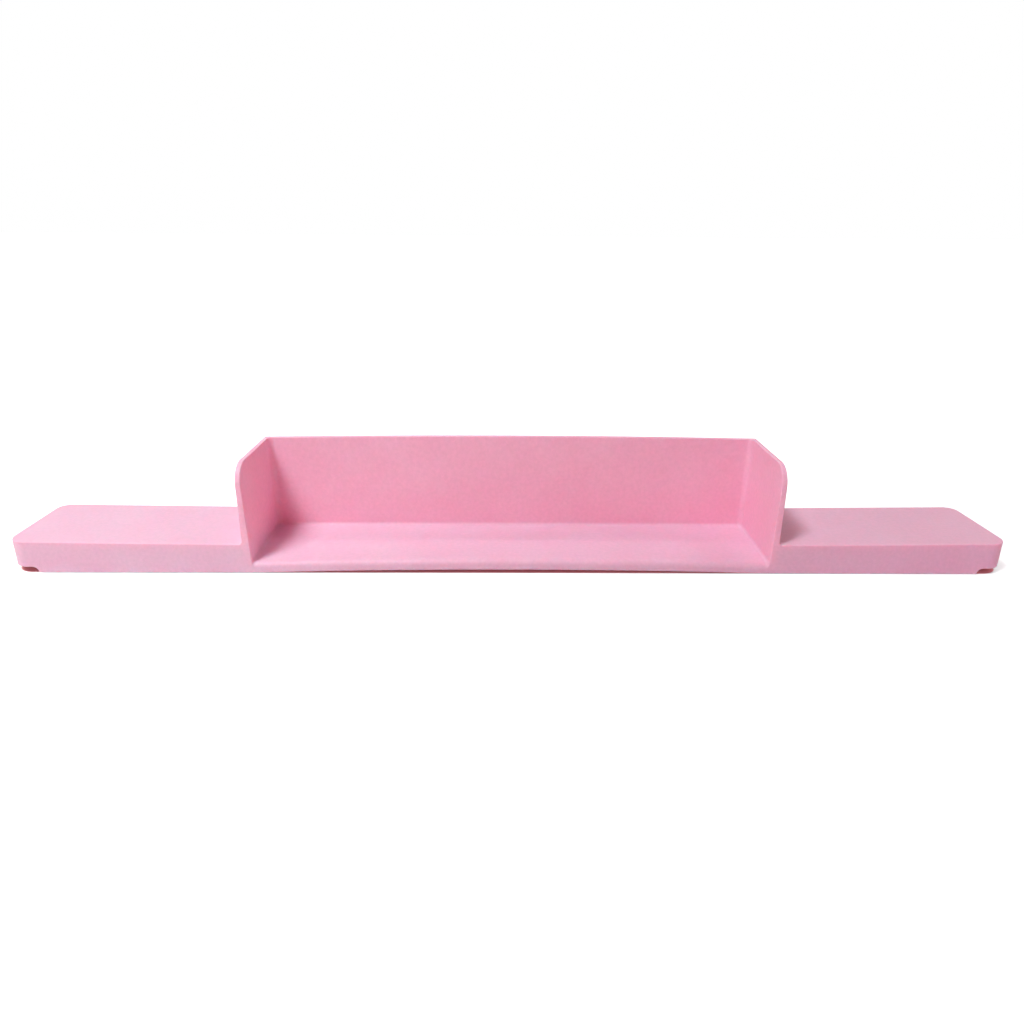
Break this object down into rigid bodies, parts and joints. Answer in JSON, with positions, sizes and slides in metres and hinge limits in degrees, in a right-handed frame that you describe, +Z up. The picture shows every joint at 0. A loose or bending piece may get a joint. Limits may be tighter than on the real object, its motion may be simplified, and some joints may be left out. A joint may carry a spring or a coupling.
{
  "type": "bathtub tray",
  "caption": "Long one-piece tray that spans a bath, with an open-front bin in the middle and a flat wing at each end.",
  "frame": {"origin": "on the surface that the strips rest on, below the centre of the tray's plan", "axes": "+X along the tray, to the right as seen from its open front; +Y from the open front to the back wall; +Z up"},
  "size_m": [0.7998, 0.0834, 0.0924],
  "materials": {
    "pink_plastic": "fine matte texture, pink",
    "soft_pink": "matte, soft"
  },
  "bodies": {
    "root": {"tray_moulding": "pink_plastic", "non_slip_strip_left_front": "soft_pink", "non_slip_strip_left_back": "soft_pink", "non_slip_strip_right_front": "soft_pink", "non_slip_strip_right_back": "soft_pink"}
  },
  "joints": []
}
